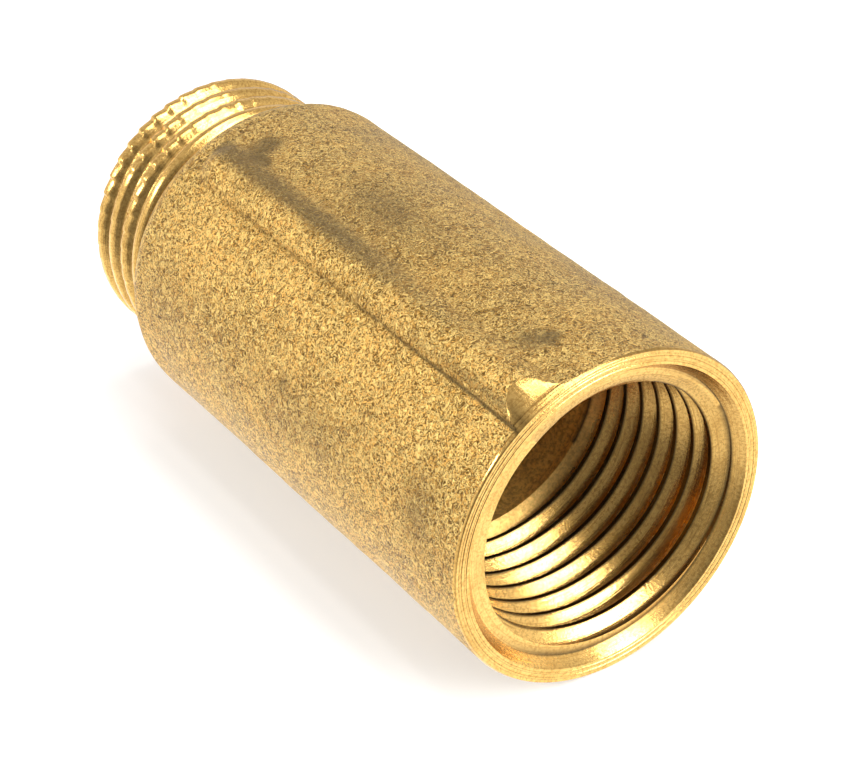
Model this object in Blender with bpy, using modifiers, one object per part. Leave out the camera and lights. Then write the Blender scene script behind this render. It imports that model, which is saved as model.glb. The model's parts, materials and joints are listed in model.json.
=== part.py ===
"""In-line spring check valve: G 1/2 male inlet, G 1/2 female outlet, long one-piece cast brass body.

Frame: metres, +Z up, the valve lying on its side. Row +X is the flow direction, from the male
inlet spigot to the female outlet socket. The origin is on the flow axis at mid length.

Every piece is modelled along the local Z of the empty "flow_axis", which turns local Z to row +X.
Local angle 0 then points down (row -Z) and local 90 degrees points to row +Y. What the poppet
carries hangs under a second empty, "poppet_lift", which slides along the same axis.
"""

import math

import bmesh
import bpy

MM = 0.001

# Driving sizes -----------------------------------------------------------------------------------
TOTAL_LENGTH = 51.0 * MM
SPIGOT_LENGTH = 8.3 * MM
BODY_RADIUS = 12.2 * MM

# G 1/2 pipe thread, 55 degrees, 14 turns per inch
THREAD_PITCH = 25.4 / 14 * MM
THREAD_MAJOR = 20.955 / 2 * MM
THREAD_MINOR = 18.631 / 2 * MM
THREAD_FLANK = math.radians(27.5)
THREAD_CREST_WIDTH = THREAD_PITCH / 6
THREAD_SINK = 0.2 * MM  # how far a thread solid reaches below the minor radius

FACETS = 32  # sides of every large turned piece
SMALL_FACETS = 16  # sides of every piece under 10 mm across
FIT = 0.1 * MM  # gap between pieces that touch on the real valve

# Stations along the flow axis
MOUTH = TOTAL_LENGTH / 2
TIP = -TOTAL_LENGTH / 2
OUTER_SHOULDER = TIP + SPIGOT_LENGTH

# Body outside
SHOULDER_ROUND = 2.1 * MM
MOUTH_BREAK_RADIUS = BODY_RADIUS - 0.2 * MM
MOUTH_BREAK_ANGLE = math.radians(20)
RIB_RADIUS = 2.43 * MM
RIB_HEIGHT = 0.75 * MM
RIB_END = MOUTH - 38.0 * MM
RIB_ANGLES = (math.radians(30), math.radians(210))

# Body inside
COUNTERSINK_RADIUS = 11.1 * MM
SOCKET_THREAD_DEPTH = 14.5 * MM
BORE_RADIUS = 9.35 * MM
SPIGOT_BORE = 7.4 * MM
SEAT_SHOULDER = MOUTH - 39.0 * MM
GROOVE_RADIUS = 10.0 * MM
GROOVE = (SEAT_SHOULDER + 18.9 * MM, SEAT_SHOULDER + 20.0 * MM)

# Crest of each thread at local angle 0
SPIGOT_CREST = OUTER_SHOULDER - 3.72 * MM
SOCKET_GROOVE = MOUTH - 1.05 * MM

# Insert pieces, fixed in the bore
INSERT_RADIUS = BORE_RADIUS - 0.13 * MM
NOSE_RADIUS = SPIGOT_BORE - 0.15 * MM
SEAT_BORE = 5.7 * MM
SEAT_LIP = (5.9 * MM, 6.2 * MM, 6.5 * MM)  # inner foot, top and outer foot
O_RING_CORD = 0.7 * MM
SLEEVE_WALL = 0.4 * MM
GUIDE_RIM = 8.3 * MM
STEM_RADIUS = 1.5 * MM
BUSH_BORE = STEM_RADIUS + 0.08 * MM
BUSH_WALL = 0.8 * MM
INLET_BUSH_WALL = 0.5 * MM
ARM_ANGLES = [math.radians(90 + 120 * i) for i in range(3)]

# Poppet pieces
DISC_RADIUS = 7.5 * MM
SEAL_RADIUS = 6.95 * MM
COLLAR_RADIUS = 2.6 * MM
STEM_HOLE = STEM_RADIUS + FIT
SPRING_RADIUS = 4.3 * MM
SPRING_WIRE = 0.3 * MM
SPRING_TURNS = 4.5


def seat(distance_mm):
    """A station on the flow axis, this many millimetres downstream of the shoulder that the seat rests on."""
    return SEAT_SHOULDER + distance_mm * MM


# Tools -------------------------------------------------------------------------------------------
def clear_scene():
    for old in list(bpy.data.objects):
        bpy.data.objects.remove(old, do_unlink=True)


def new_collection(name):
    found = bpy.data.collections.new(name)
    bpy.context.scene.collection.children.link(found)
    return found


def new_empty(name, parent, collection):
    empty = bpy.data.objects.new(name, None)
    empty.parent = parent
    collection.objects.link(empty)
    return empty


def new_material(name, colour, roughness, metallic):
    made = bpy.data.materials.new(name)
    made.use_nodes = True
    shader = made.node_tree.nodes["Principled BSDF"]
    shader.inputs["Base Color"].default_value = (*colour, 1.0)
    shader.inputs["Roughness"].default_value = roughness
    shader.inputs["Metallic"].default_value = metallic
    return made


def add_piece(name, data, material, parent):
    """An object of the valve. With no material it is a tool for a Boolean, left out of the render."""
    piece = bpy.data.objects.new(name, data)
    piece.parent = parent
    if material is None:
        tools.objects.link(piece)
        piece.hide_render = True
        piece.display_type = "WIRE"
    else:
        valve.objects.link(piece)
        data.materials.append(material)
    return piece


def clockwise(profile):
    """The (radius, z) profile in the order that a Screw modifier turns into faces pointing out."""
    area = sum(a[0] * b[1] - b[0] * a[1] for a, b in zip(profile, profile[1:] + profile[:1]))
    return profile[::-1] if area > 0 else profile


def turned(name, profile, material, parent, facets=FACETS):
    """A solid of revolution about local Z. A profile whose ends are on the axis stays open there."""
    on_axis = profile[0][0] == 0 and profile[-1][0] == 0
    points = clockwise(profile)
    count = len(points)
    edges = [(i, (i + 1) % count) for i in range(count - on_axis)]
    mesh = bpy.data.meshes.new(name)
    mesh.from_pydata([(radius, 0, z) for radius, z in points], edges, [])
    piece = add_piece(name, mesh, material, parent)
    piece.rotation_euler.z = math.pi / facets
    screw = piece.modifiers.new("turn", "SCREW")
    screw.steps = screw.render_steps = facets
    screw.use_merge_vertices = True
    screw.merge_threshold = 1e-6
    return piece


def ring(name, inner, outer, low, high, material, parent, facets=FACETS):
    profile = [(inner, high), (outer, high), (outer, low), (inner, low)]
    return turned(name, profile, material, parent, facets)


def cylinder(name, radius, low, high, parent, facets=SMALL_FACETS, at=(0, 0)):
    """A closed cylinder along local Z, as a tool."""
    mesh = bpy.data.meshes.new(name)
    shape = bmesh.new()
    bmesh.ops.create_cone(
        shape, cap_ends=True, segments=facets, radius1=radius, radius2=radius, depth=high - low
    )
    bmesh.ops.translate(shape, verts=shape.verts, vec=(*at, (low + high) / 2))
    shape.to_mesh(mesh)
    shape.free()
    return add_piece(name, mesh, None, parent)


def box(name, low, high, angle, parent):
    """A box from corner to corner, turned by angle about local Z, as a tool."""
    mesh = bpy.data.meshes.new(name)
    shape = bmesh.new()
    bmesh.ops.create_cube(shape, size=1)
    bmesh.ops.scale(shape, verts=shape.verts, vec=[b - a for a, b in zip(low, high)])
    bmesh.ops.translate(shape, verts=shape.verts, vec=[(a + b) / 2 for a, b in zip(low, high)])
    shape.to_mesh(mesh)
    shape.free()
    piece = add_piece(name, mesh, None, parent)
    piece.rotation_euler.z = angle
    return piece


def boolean(piece, operation, tool):
    modifier = piece.modifiers.new(tool.name, "BOOLEAN")
    modifier.operation = operation
    modifier.solver = "EXACT"
    modifier.object = tool


def thread_coil(name, crest, low, high, parent):
    """The helical solid of a right-hand thread that runs past low and high. Crest is its z at angle 0."""
    rise = THREAD_PITCH / FACETS
    start = crest - math.ceil((crest - low) / THREAD_PITCH) * THREAD_PITCH
    steps = math.ceil((high - start) / rise)
    foot_width = THREAD_PITCH - THREAD_CREST_WIDTH + 2 * THREAD_SINK * math.tan(THREAD_FLANK)
    foot = THREAD_MINOR - THREAD_SINK
    section = [
        (foot, start - foot_width / 2),
        (foot, start + foot_width / 2),
        (THREAD_MAJOR, start + THREAD_CREST_WIDTH / 2),
        (THREAD_MAJOR, start - THREAD_CREST_WIDTH / 2),
    ]
    mesh = bpy.data.meshes.new(name)
    shape = bmesh.new()
    face = shape.faces.new([shape.verts.new((radius, 0, z)) for radius, z in section])
    bmesh.ops.spin(
        shape,
        geom=[face],
        axis=(0, 0, 1),
        dvec=(0, 0, rise),
        angle=2 * math.pi * steps / FACETS,
        steps=steps,
    )
    bmesh.ops.recalc_face_normals(shape, faces=shape.faces)
    shape.to_mesh(mesh)
    shape.free()
    return add_piece(name, mesh, None, parent)


# Body --------------------------------------------------------------------------------------------
def body_outside():
    """Half outline of the cast blank: shoulder with a round edge, then the spigot at thread-root radius."""
    centre = (BODY_RADIUS - SHOULDER_ROUND, OUTER_SHOULDER + SHOULDER_ROUND)
    quarter = [math.radians(-18 * i) for i in range(6)]
    shoulder = [
        (centre[0] + SHOULDER_ROUND * math.cos(a), centre[1] + SHOULDER_ROUND * math.sin(a))
        for a in quarter
    ]
    edge = 0.3 * MM
    spigot = [
        (THREAD_MINOR, OUTER_SHOULDER),
        (THREAD_MINOR, TIP + edge),
        (THREAD_MINOR - edge, TIP),
    ]
    return [(0, MOUTH), (BODY_RADIUS, MOUTH), *shoulder, *spigot, (0, TIP)]


def bore_inside():
    """Half outline of all that the lathe takes out, from above the mouth to below the spigot's tip."""
    past = 1.0 * MM
    edge = 0.3 * MM
    thread_end = MOUTH - SOCKET_THREAD_DEPTH
    step = BORE_RADIUS - THREAD_MINOR
    return [
        (0, MOUTH + past),
        (COUNTERSINK_RADIUS + past, MOUTH + past),
        (THREAD_MINOR, MOUTH - (COUNTERSINK_RADIUS - THREAD_MINOR)),
        (THREAD_MINOR, thread_end),
        (BORE_RADIUS, thread_end - step),
        (BORE_RADIUS, GROOVE[1]),
        (GROOVE_RADIUS, GROOVE[1]),
        (GROOVE_RADIUS, GROOVE[0]),
        (BORE_RADIUS, GROOVE[0]),
        (BORE_RADIUS, SEAT_SHOULDER),
        (SPIGOT_BORE, SEAT_SHOULDER),
        (SPIGOT_BORE, TIP + edge),
        (SPIGOT_BORE + edge + past, TIP - past),
        (0, TIP - past),
    ]


def casting_rib(name, angle, parent):
    """A half-round rib: a capsule sunk in the body's skin, with its round end near the shoulder."""
    distance = BODY_RADIUS + RIB_HEIGHT - RIB_RADIUS
    near_mouth = MOUTH - 0.3 * MM  # hidden in the body's wall, where the mouth's cone is deeper
    rings = 4
    ball = [math.pi / 2 * i / rings for i in range(1, rings + 1)]
    dome = [(RIB_RADIUS * math.sin(a), RIB_END - RIB_RADIUS * math.cos(a)) for a in ball]
    profile = [(0, RIB_END - RIB_RADIUS), *dome, (RIB_RADIUS, near_mouth), (0, near_mouth)]
    rib = turned(name, profile, None, parent, facets=24)
    rib.location = (distance * math.cos(angle), distance * math.sin(angle), 0)
    return rib


def mouth_break(parent):
    """The lathe's cone round the mouth's outer edge, which also cuts the ribs back."""
    reach = 5.0 * MM
    slope = math.tan(MOUTH_BREAK_ANGLE)
    past = 3.0 * MM
    profile = [
        (MOUTH_BREAK_RADIUS, MOUTH),
        (MOUTH_BREAK_RADIUS, MOUTH + past),
        (BODY_RADIUS + reach, MOUTH + past),
        (BODY_RADIUS + reach, MOUTH - reach),
        (MOUTH_BREAK_RADIUS + reach * slope, MOUTH - reach),
    ]
    return turned("tool_mouth_break", profile, None, parent)


def spigot_thread(parent):
    """The male thread, trimmed to a cone at the tip and to a run-out beside the shoulder."""
    high = OUTER_SHOULDER - 1.1 * MM
    low = TIP + 0.45 * MM
    outside = THREAD_MAJOR + 0.3 * MM
    inside = THREAD_MINOR - 0.15 * MM
    cone = outside - THREAD_MINOR
    envelope = [
        (inside, high),
        (THREAD_MINOR, high),
        (outside, high - cone),
        (outside, low + cone),
        (THREAD_MINOR, low),
        (inside, low),
    ]
    coil = thread_coil("tool_spigot_coil", SPIGOT_CREST, TIP, OUTER_SHOULDER, parent)
    boolean(coil, "INTERSECT", turned("tool_spigot_envelope", envelope, None, parent))
    return coil


def make_body(parent, material):
    body = turned("valve_body", body_outside(), material, parent)
    for number, angle in enumerate(RIB_ANGLES, 1):
        boolean(body, "UNION", casting_rib(f"tool_rib_{number}", angle, parent))
    boolean(body, "DIFFERENCE", mouth_break(parent))
    boolean(body, "UNION", spigot_thread(parent))
    boolean(body, "DIFFERENCE", turned("tool_bore", bore_inside(), None, parent))
    low = MOUTH - SOCKET_THREAD_DEPTH
    coil = thread_coil("tool_socket_coil", SOCKET_GROOVE, low, MOUTH + THREAD_PITCH, parent)
    boolean(body, "DIFFERENCE", coil)


# Fixed insert ------------------------------------------------------------------------------------
def make_seat_ring(parent, material):
    """Flanged seat: its nose enters the spigot, its flange rests on the shoulder, its lip meets the seal."""
    lip_in, lip_top, lip_out = SEAT_LIP
    top = seat(5.0)
    face = seat(4.5)
    groove_floor = INSERT_RADIUS - 1.4 * MM
    guide_pocket = SEAT_BORE + 0.65 * MM
    profile = [
        (lip_top, top),
        (lip_out, face),
        (INSERT_RADIUS, face),
        (INSERT_RADIUS, seat(3.3)),
        (groove_floor, seat(3.3)),
        (groove_floor, seat(1.5)),
        (INSERT_RADIUS, seat(1.5)),
        (INSERT_RADIUS, seat(0.1)),
        (NOSE_RADIUS, seat(0.1)),
        (NOSE_RADIUS, seat(-4.7)),
        (guide_pocket, seat(-4.7)),
        (guide_pocket, seat(-2.0)),
        (SEAT_BORE, seat(-2.0)),
        (SEAT_BORE, face),
        (lip_in, top),
    ]
    turned("seat_ring", profile, material, parent)


def make_seat_o_ring(parent, material):
    centre = (INSERT_RADIUS - 0.62 * MM, seat(2.4))
    around = [2 * math.pi * i / 8 for i in range(8)]
    profile = [
        (centre[0] + O_RING_CORD * math.cos(a), centre[1] + O_RING_CORD * math.sin(a)) for a in around
    ]
    turned("seat_o_ring", profile, material, parent)


def add_arms(piece, inner, outer, low, high, width, parent):
    for number, angle in enumerate(ARM_ANGLES, 1):
        name = f"tool_{piece.name}_arm_{number}"
        arm = box(name, (inner, -width / 2, low), (outer, width / 2, high), angle, parent)
        boolean(piece, "UNION", arm)


def make_inlet_guide(parent, material):
    """Three-armed guide pressed into the seat ring's nose, upstream of the seat."""
    rim_out = SEAT_BORE + 0.58 * MM
    rim_in = SEAT_BORE - 0.1 * MM
    low, high = seat(-4.6), seat(-2.1)
    hub_in = BUSH_BORE + INLET_BUSH_WALL + FIT / 2
    hub_out = hub_in + 0.65 * MM
    rim = ring("inlet_guide", rim_in, rim_out, low, high, material, parent)
    hub = ring("tool_inlet_hub", hub_in, hub_out, low, seat(-1.3), None, parent, SMALL_FACETS)
    boolean(rim, "UNION", hub)
    middle = (hub_in + hub_out) / 2
    add_arms(rim, middle, rim_in + 0.3 * MM, low + 0.3 * MM, high - 0.3 * MM, 1.2 * MM, parent)


def make_bush(name, wall, low, high, flange, material, parent):
    """A plain bush with a flange on its downstream end."""
    outer = BUSH_BORE + wall
    profile = [
        (BUSH_BORE, high),
        (flange, high),
        (flange, high - 0.45 * MM),
        (outer, high - 0.45 * MM),
        (outer, low),
        (BUSH_BORE, low),
    ]
    turned(name, profile, material, parent, SMALL_FACETS)


def make_distance_sleeve(parent, material):
    ring(
        "distance_sleeve",
        INSERT_RADIUS - SLEEVE_WALL,
        INSERT_RADIUS,
        seat(4.6),
        seat(14.5),
        material,
        parent,
    )


def make_outlet_guide(parent, material):
    """Three-armed guide that carries the outlet bush and backs the spring."""
    low, high = seat(14.6), seat(18.1)
    rim = ring("outlet_guide", GUIDE_RIM, INSERT_RADIUS, low, high, material, parent)
    bore = BUSH_BORE + BUSH_WALL + FIT
    nose = bore + 1.1 * MM
    flange = 5.3 * MM
    hub_profile = [
        (bore, high),
        (nose, high),
        (nose, seat(16.0)),
        (flange, seat(16.0)),
        (flange, low),
        (nose, low),
        (nose, seat(13.0)),
        (bore, seat(13.0)),
    ]
    hub = turned("tool_outlet_hub", hub_profile, None, parent, SMALL_FACETS)
    boolean(rim, "UNION", hub)
    middle = (bore + nose) / 2
    add_arms(rim, middle, GUIDE_RIM + 0.4 * MM, low + 0.3 * MM, seat(17.6), 1.6 * MM, parent)


def arc(radius, start, end, count, centre=(0, 0)):
    return [
        (
            centre[0] + radius * math.cos(start + (end - start) * i / count),
            centre[1] + radius * math.sin(start + (end - start) * i / count),
        )
        for i in range(count + 1)
    ]


def flat_plate(name, outlines, low, high, material, parent):
    """A flat outline with holes, as a filled 2D curve extruded both ways from its middle."""
    curve = bpy.data.curves.new(name, "CURVE")
    curve.dimensions = "2D"
    curve.fill_mode = "BOTH"
    curve.extrude = (high - low) / 2
    for outline in outlines:
        spline = curve.splines.new("POLY")
        spline.points.add(len(outline) - 1)
        for point, (x, y) in zip(spline.points, outline):
            point.co = (x, y, 0, 1)
        spline.use_cyclic_u = True
    plate = add_piece(name, curve, material, parent)
    plate.location.z = (low + high) / 2
    return plate


def make_retaining_ring(parent, material):
    """Internal circlip: an open ring, narrow at its ends, with two drilled lugs that point inwards."""
    outer = GROOVE_RADIUS - 0.08 * MM
    width = 1.6 * MM
    half_gap = math.radians(20)
    lug_radius = 1.35 * MM
    lug_at = outer - 1.25 * MM - lug_radius
    outside = arc(outer, half_gap, 2 * math.pi - half_gap, 30)
    lug_turn = half_gap + lug_radius / lug_at
    lug = (lug_at * math.cos(lug_turn), lug_at * math.sin(lug_turn))
    lug_end = arc(lug_radius, lug_turn - math.pi / 2, lug_turn - 1.5 * math.pi, 6, lug)
    inner_start = lug_turn + 1.6 * lug_radius / lug_at
    inside = arc(outer - width, 2 * math.pi - inner_start, inner_start, 24)
    mirrored_lug = [(x, -y) for x, y in lug_end]
    outline = [*outside, *mirrored_lug, *inside, *reversed(lug_end)]
    holes = [arc(0.7 * MM, 0, 2 * math.pi * 7 / 8, 7, (lug[0], side * lug[1])) for side in (1, -1)]
    low, high = GROOVE[0] + 0.05 * MM, GROOVE[1] - 0.05 * MM
    clip = flat_plate("retaining_ring", [outline, *holes], low, high, material, parent)
    clip.rotation_euler.z = math.radians(150)


# Poppet ------------------------------------------------------------------------------------------
def make_stem(parent, material):
    """Guide stem with a collar that clamps the disc, and a groove for the end clip."""
    groove = 1.15 * MM
    edge = 0.25 * MM
    profile = [
        (0, seat(20.8)),
        (STEM_RADIUS - edge, seat(20.8)),
        (STEM_RADIUS, seat(20.55)),
        (STEM_RADIUS, seat(19.95)),
        (groove, seat(19.95)),
        (groove, seat(19.25)),
        (STEM_RADIUS, seat(19.25)),
        (STEM_RADIUS, seat(9.85)),
        (COLLAR_RADIUS, seat(9.85)),
        (COLLAR_RADIUS, seat(9.1)),
        (STEM_RADIUS, seat(9.1)),
        (STEM_RADIUS, seat(-4.75)),
        (STEM_RADIUS - edge, seat(-5.0)),
        (0, seat(-5.0)),
    ]
    turned("stem", profile, material, parent, SMALL_FACETS)


def make_poppet_disc(parent, material):
    """Cup that holds the seal, with a boss that centres the spring."""
    boss = SPRING_RADIUS - SPRING_WIRE - 0.6 * MM
    cup = SEAL_RADIUS + FIT
    round_edge = 0.4 * MM
    profile = [
        (STEM_HOLE, seat(9.0)),
        (boss, seat(9.0)),
        (boss, seat(8.3)),
        (DISC_RADIUS - round_edge, seat(8.3)),
        (DISC_RADIUS, seat(8.3) - round_edge),
        (DISC_RADIUS, seat(5.6)),
        (cup, seat(5.6)),
        (cup, seat(6.8)),
        (STEM_HOLE, seat(6.8)),
    ]
    turned("poppet_disc", profile, material, parent)


def make_nut(parent, material):
    """Hexagon nut, 5.5 mm across flats, with its corners turned off on both faces."""
    across = 5.5 * MM
    low, high = seat(1.0), seat(3.4)
    corner = across / 2 / math.cos(math.pi / 6)
    mesh = bpy.data.meshes.new("clamp_nut")
    shape = bmesh.new()
    bmesh.ops.create_cone(
        shape, cap_ends=True, segments=6, radius1=corner, radius2=corner, depth=high - low
    )
    bmesh.ops.translate(shape, verts=shape.verts, vec=(0, 0, (low + high) / 2))
    shape.to_mesh(mesh)
    shape.free()
    nut = add_piece("clamp_nut", mesh, material, parent)
    flat = across / 2 * 0.95
    wide = corner * 1.2
    drop = (wide - flat) * math.tan(math.radians(30))
    crown = [
        (0, high + FIT),
        (flat - FIT, high + FIT),
        (wide, high - drop),
        (wide, low + drop),
        (flat - FIT, low - FIT),
        (0, low - FIT),
    ]
    boolean(nut, "INTERSECT", turned("tool_nut_crown", crown, None, parent, 24))
    boolean(nut, "DIFFERENCE", cylinder("tool_nut_hole", STEM_HOLE, low - MM, high + MM, parent))


def make_lock_washer(parent, material):
    """Spring lock washer, flattened by the nut, with its slanted split."""
    low, high = seat(3.45), seat(4.15)
    washer = ring("lock_washer", STEM_HOLE, 2.85 * MM, low, high, material, parent, SMALL_FACETS)
    split = box("tool_split", (0, -0.2 * MM, -MM), (4 * MM, 0.2 * MM, MM), 0, parent)
    split.rotation_euler = (math.radians(35), 0, 0)
    split.location.z = (low + high) / 2
    boolean(washer, "DIFFERENCE", split)


def make_stem_clip(parent, material):
    """E-clip: an open ring that grips the stem's groove on three inner pads."""
    grip = 1.2 * MM
    outer = 3.1 * MM
    pocket = 2.05 * MM
    half_mouth = math.radians(32)
    outside = arc(outer, half_mouth, 2 * math.pi - half_mouth, 20)
    pads = [
        (2 * math.pi - half_mouth, 2 * math.pi - half_mouth - 0.45),
        (math.pi + 0.5, math.pi - 0.5),
        (half_mouth + 0.45, half_mouth),
    ]
    inside = []
    for number, (start, end) in enumerate(pads):
        inside += arc(grip, start, end, 4)
        if number < 2:
            inside += arc(pocket, end - 0.15, pads[number + 1][0] + 0.15, 4)
    low, high = seat(19.35), seat(19.85)
    clip = flat_plate("stem_clip", [outside + inside], low, high, material, parent)
    clip.rotation_euler.z = math.radians(-60)


def make_spring(parent, material):
    """Compression spring with closed ends, between the disc's back and the outlet guide's flange."""
    low = seat(8.35) + SPRING_WIRE
    high = seat(14.5) - SPRING_WIRE
    per_turn = 16
    count = int(SPRING_TURNS * per_turn)
    closed = 0.75  # turns at each end that lie almost flat
    curve = bpy.data.curves.new("return_spring", "CURVE")
    curve.dimensions = "3D"
    curve.bevel_depth = SPRING_WIRE
    curve.bevel_resolution = 1
    curve.use_fill_caps = True
    spline = curve.splines.new("POLY")
    spline.points.add(count)
    flat_rise = 0.72 * MM  # of each closed end, a little over one wire
    active = SPRING_TURNS - 2 * closed
    for i, point in enumerate(spline.points):
        turn = i / per_turn
        if turn < closed:
            z = low + flat_rise * turn / closed
        elif turn > SPRING_TURNS - closed:
            z = high - flat_rise * (SPRING_TURNS - turn) / closed
        else:
            z = low + flat_rise + (high - low - 2 * flat_rise) * (turn - closed) / active
        angle = 2 * math.pi * turn
        point.co = (SPRING_RADIUS * math.cos(angle), SPRING_RADIUS * math.sin(angle), z, 1)
    add_piece("return_spring", curve, material, parent)


def make_poppet(parent, brass, steel, rubber):
    make_stem(parent, steel)
    make_poppet_disc(parent, brass)
    ring("poppet_seal", STEM_HOLE, SEAL_RADIUS, seat(5.1), seat(6.7), rubber, parent)
    ring("clamp_washer", STEM_HOLE, 4.9 * MM, seat(4.2), seat(5.0), steel, parent, 24)
    make_lock_washer(parent, steel)
    make_nut(parent, steel)
    make_stem_clip(parent, steel)


def make_insert(parent, brass, steel, rubber, plastic):
    make_seat_ring(parent, brass)
    make_seat_o_ring(parent, rubber)
    make_inlet_guide(parent, brass)
    make_bush("inlet_bush", INLET_BUSH_WALL, seat(-4.6), seat(-0.8), 2.6 * MM, plastic, parent)
    make_distance_sleeve(parent, steel)
    make_outlet_guide(parent, brass)
    make_bush("outlet_bush", BUSH_WALL, seat(13.1), seat(18.65), 3.3 * MM, plastic, parent)
    ring("support_washer", 8.0 * MM, INSERT_RADIUS, seat(18.2), seat(18.8), steel, parent)
    make_retaining_ring(parent, steel)


def main():
    rough_brass = new_material("cast_brass", (0.45, 0.30, 0.12), 0.45, 1.0)
    brass = new_material("turned_brass", (0.75, 0.52, 0.22), 0.22, 1.0)
    steel = new_material("stainless_steel", (0.62, 0.62, 0.60), 0.25, 1.0)
    rubber = new_material("black_rubber", (0.02, 0.02, 0.02), 0.6, 0.0)
    plastic = new_material("white_plastic", (0.85, 0.85, 0.82), 0.4, 0.0)
    flow_axis = new_empty("flow_axis", None, valve)
    flow_axis.rotation_euler.y = math.pi / 2
    poppet_lift = new_empty("poppet_lift", flow_axis, valve)
    make_body(flow_axis, rough_brass)
    make_insert(flow_axis, brass, steel, rubber, plastic)
    make_spring(flow_axis, steel)
    make_poppet(poppet_lift, brass, steel, rubber)


clear_scene()
valve = new_collection("check_valve")
tools = new_collection("tools")
main()
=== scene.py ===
"""Looks of the in-line check valve: cast brass body with turned threads, and the cartridge inside.

Everything is in metres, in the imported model's frame: +X is the flow axis, from the male inlet to
the female outlet, and +Z is up. Angles about the axis run from +Y towards +Z.
"""

import json
import math

import bpy
import numpy as np
from mathutils import Matrix, Vector, noise


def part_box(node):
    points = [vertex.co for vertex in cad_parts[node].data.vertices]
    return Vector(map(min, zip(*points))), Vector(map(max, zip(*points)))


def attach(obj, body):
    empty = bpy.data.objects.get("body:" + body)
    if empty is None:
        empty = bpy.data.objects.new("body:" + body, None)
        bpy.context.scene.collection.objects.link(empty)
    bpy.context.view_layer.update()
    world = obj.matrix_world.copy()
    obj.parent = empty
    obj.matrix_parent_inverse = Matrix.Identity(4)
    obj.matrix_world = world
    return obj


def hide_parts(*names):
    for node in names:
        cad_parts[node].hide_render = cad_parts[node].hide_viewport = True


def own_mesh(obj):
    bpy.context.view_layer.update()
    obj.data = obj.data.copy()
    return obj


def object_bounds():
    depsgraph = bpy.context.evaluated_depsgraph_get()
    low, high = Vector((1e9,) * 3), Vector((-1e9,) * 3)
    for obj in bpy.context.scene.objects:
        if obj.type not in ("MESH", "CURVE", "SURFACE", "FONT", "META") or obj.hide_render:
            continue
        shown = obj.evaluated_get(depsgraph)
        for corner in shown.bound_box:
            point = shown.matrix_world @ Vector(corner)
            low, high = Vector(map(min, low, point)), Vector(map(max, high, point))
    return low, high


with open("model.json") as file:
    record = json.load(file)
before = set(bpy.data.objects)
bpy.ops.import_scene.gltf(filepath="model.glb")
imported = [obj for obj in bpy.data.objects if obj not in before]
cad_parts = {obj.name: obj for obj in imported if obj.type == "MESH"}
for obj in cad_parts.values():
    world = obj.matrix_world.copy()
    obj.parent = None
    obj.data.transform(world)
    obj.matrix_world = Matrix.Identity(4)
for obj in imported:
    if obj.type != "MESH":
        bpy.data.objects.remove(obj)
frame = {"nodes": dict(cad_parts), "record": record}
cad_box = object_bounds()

MM = 0.001

# The body's main places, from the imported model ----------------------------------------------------
TIP = cad_box[0].x
MOUTH = cad_box[1].x
SEAT_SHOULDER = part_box("seat_ring")[0].x + 4.7 * MM  # the ring's nose is that long

BODY_RADIUS = cad_box[1].y / math.cos(math.pi / 32)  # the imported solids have 32 sides
SHOULDER = TIP + 8.3 * MM
SHOULDER_ROUND = 2.1 * MM
SKIN_STEP = 0.3 * MM
WIDE_COLUMN = math.radians(1.35)
RIB_COLUMN = math.radians(0.45)

RIB_ANGLES = (math.radians(119.5), math.radians(299.5))
RIB_RADIUS = 2.6 * MM
RIB_HEIGHT = 0.75 * MM
RIB_HALF_ANGLE = math.radians(9.0)
RIB_END = MOUTH - 38.0 * MM

# Stains on the casting: degrees, mm behind the mouth, mm across, mm along, strength
STAINS = (
    (163, 21, 0.7, 0.7, 0.3),
    (171, 18, 3.2, 8.0, 0.35),
    (168, 4.5, 3.5, 2.2, 0.45),
    (99, 4.6, 0.6, 0.5, 0.9),
    (104, 5.4, 1.0, 1.2, 0.35),
    (110, 36, 0.45, 1.0, 1.0),
    (104, 37, 1.0, 1.0, 0.6),
    (96, 24, 2.0, 5.0, 0.3),
    (172, 36, 3.5, 4.0, 0.3),
    (285, 12, 2.0, 3.0, 0.5),
    (250, 28, 3.0, 6.0, 0.4),
    (350, 20, 2.5, 5.0, 0.4),
    (40, 30, 2.0, 3.5, 0.45),
)

FACE_RADIUS = BODY_RADIUS - 0.08 * MM
EDGE_CONE = math.radians(20)
FACE_LINES = ((0.24, 0.02), (0.43, 0.03), (0.66, 0.015), (0.80, 0.03))  # mm in from the edge, mm deep
COUNTERSINK_RADIUS = 11.1 * MM
COUNTERSINK_SLOPE = math.tan(math.radians(38))  # from the axis

# G 1/2 pipe thread
PITCH = 25.4 / 14 * MM
MAJOR = 20.955 / 2 * MM
MINOR = 18.631 / 2 * MM
SPIGOT_DEPTH = 0.62 * MM
SPIGOT_STEPS = 336  # per turn
SOCKET_DEPTH = 15.0 * MM
SOCKET_STEPS = 144  # per turn
SOCKET_GROOVE = 1.16 * MM  # depth
SOCKET_CREST = 0.30 * MM  # width of the flat left between two grooves
THREAD_START = math.radians(131.5)
SPIGOT_CREST = SHOULDER - 1.98 * MM  # a crest's place at that angle
SOCKET_EDGE = MOUTH + 0.64 * MM  # the inner edge of a crest, at the same angle
NOTCHES = 48  # per turn of the spigot's thread

RANGE_SOCKETS = ("From Min", "From Max", "To Min", "To Max")

BORE_RADIUS = 9.35 * MM
SPIGOT_BORE = 7.4 * MM

# The cartridge: stations are counted in mm downstream of the seat shoulder
CARTRIDGE_RADIUS = 9.22 * MM
STEM_RADIUS = 1.5 * MM
SPRING_RADIUS = 4.3 * MM
SPRING_WIRE = 0.3 * MM
SPRING_TURNS = 4.5
ARM_ANGLES = tuple(math.radians(a) for a in (0, 120, 240))


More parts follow.
